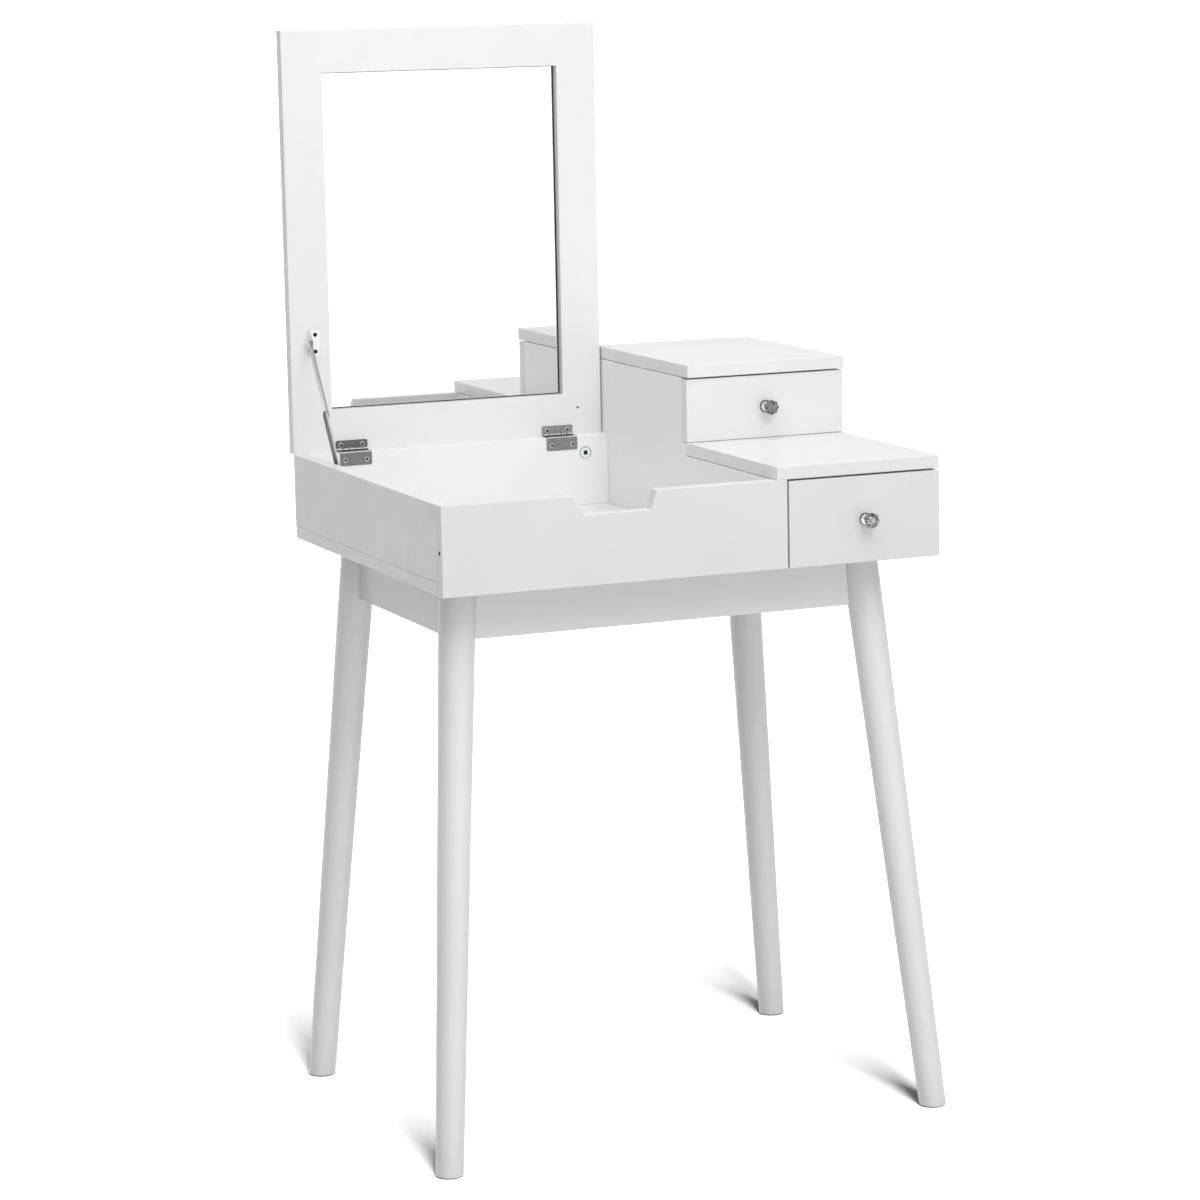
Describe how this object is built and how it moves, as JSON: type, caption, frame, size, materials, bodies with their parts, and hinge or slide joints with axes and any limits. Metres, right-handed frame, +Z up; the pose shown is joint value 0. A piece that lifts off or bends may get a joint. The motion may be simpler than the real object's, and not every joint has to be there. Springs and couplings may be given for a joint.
{
  "type": "vanity table with mirror",
  "caption": "Small dressing table on splayed legs with a folding mirror lid over a shallow compartment and a stepped drawer tower.",
  "frame": {"origin": "on the floor under the middle of the whole object's width and depth, lid open and drawers shut", "axes": "+Z up, front (drawer knobs) towards -Y, drawer tower on the +X side"},
  "size_m": [0.633, 0.5376, 1.25],
  "materials": {
    "white_lacquer": "satin white lacquer on fibreboard",
    "leg_lacquer": "satin white lacquer on turned wood",
    "drawer_wood": "pale sealed board, unpainted inside",
    "mirror_silver": "silvered float glass",
    "hinge_steel": "nickel-plated steel",
    "bright_steel": "bright plated steel",
    "knob_crystal": "clear faceted crystal acrylic",
    "glide_plastic": "dark moulded plastic",
    "zinc_cam": "die-cast zinc"
  },
  "bodies": {
    "table": {"bottom_board": "white_lacquer", "left_side_panel": "white_lacquer", "right_side_lower": "white_lacquer", "right_side_upper": "white_lacquer", "back_panel": "white_lacquer", "lower_drawer_back_panel": "white_lacquer", "upper_drawer_back_panel": "white_lacquer", "front_panel": "white_lacquer", "divider_panel": "white_lacquer", "lower_top_board": "white_lacquer", "upper_top_board": "white_lacquer", "front_apron": "white_lacquer", "back_apron": "white_lacquer", "left_apron": "white_lacquer", "right_apron": "white_lacquer", "leg_front_left": "leg_lacquer", "leg_front_right": "leg_lacquer", "leg_back_left": "leg_lacquer", "leg_back_right": "leg_lacquer", "corner_block_front_left": "drawer_wood", "corner_block_front_right": "drawer_wood", "corner_block_back_left": "drawer_wood", "corner_block_back_right": "drawer_wood", "foot_glide_front_left": "glide_plastic", "foot_glide_front_right": "glide_plastic", "foot_glide_back_left": "glide_plastic", "foot_glide_back_right": "glide_plastic", "cam_lock": "zinc_cam", "hinge_box_leaf_left": "hinge_steel", "hinge_pin_left": "bright_steel", "hinge_box_leaf_right": "hinge_steel", "hinge_pin_right": "bright_steel", "stay_box_bracket": "hinge_steel", "lower_drawer_runner_left": "drawer_wood", "lower_drawer_runner_right": "drawer_wood", "upper_drawer_runner_left": "drawer_wood", "upper_drawer_runner_right": "drawer_wood"},
    "mirror_lid": {"lid_frame": "white_lacquer", "lid_outer_panel": "white_lacquer", "mirror_glass": "mirror_silver", "hinge_lid_leaf_left": "hinge_steel", "hinge_lid_leaf_right": "hinge_steel", "stay_lid_bracket": "hinge_steel"},
    "stay_upper_link": {"stay_upper_link": "bright_steel"},
    "stay_lower_link": {"stay_lower_link": "hinge_steel"},
    "lower_drawer": {"lower_drawer_front": "white_lacquer", "lower_drawer_side_left": "drawer_wood", "lower_drawer_side_right": "drawer_wood", "lower_drawer_back": "drawer_wood", "lower_drawer_bottom": "drawer_wood", "lower_drawer_knob_base": "bright_steel", "lower_drawer_knob": "knob_crystal"},
    "upper_drawer": {"upper_drawer_front": "white_lacquer", "upper_drawer_side_left": "drawer_wood", "upper_drawer_side_right": "drawer_wood", "upper_drawer_back": "drawer_wood", "upper_drawer_bottom": "drawer_wood", "upper_drawer_knob_base": "bright_steel", "upper_drawer_knob": "knob_crystal"}
  },
  "joints": [
    {"name": "lid_hinge", "type": "hinge", "parent": "table", "child": "mirror_lid", "pos_m": [-0.0935, 0.252, 0.75375], "axis": [1, 0, 0], "range_deg": [0, 90]},
    {"name": "stay_lid_pivot", "type": "hinge", "parent": "mirror_lid", "child": "stay_upper_link", "pos_m": [-0.27875, 0.24375, 0.883], "axis": [1, 0, 0], "range_deg": [-113.5, 0]},
    {"name": "stay_box_pivot", "type": "hinge", "parent": "table", "child": "stay_lower_link", "pos_m": [-0.28125, 0.13225, 0.725], "axis": [1, 0, 0], "range_deg": [0, 143.6]},
    {"name": "lower_drawer_slide", "type": "slide", "parent": "table", "child": "lower_drawer", "axis": [0, -1, 0], "range_m": [0, 0.3]},
    {"name": "upper_drawer_slide", "type": "slide", "parent": "table", "child": "upper_drawer", "axis": [0, -1, 0], "range_m": [0, 0.14]}
  ],
  "couplings": [
    {"joint": "stay_lid_pivot", "follows": "lid_hinge", "ratio": -1.258},
    {"joint": "stay_box_pivot", "follows": "lid_hinge", "ratio": 1.5929}
  ]
}
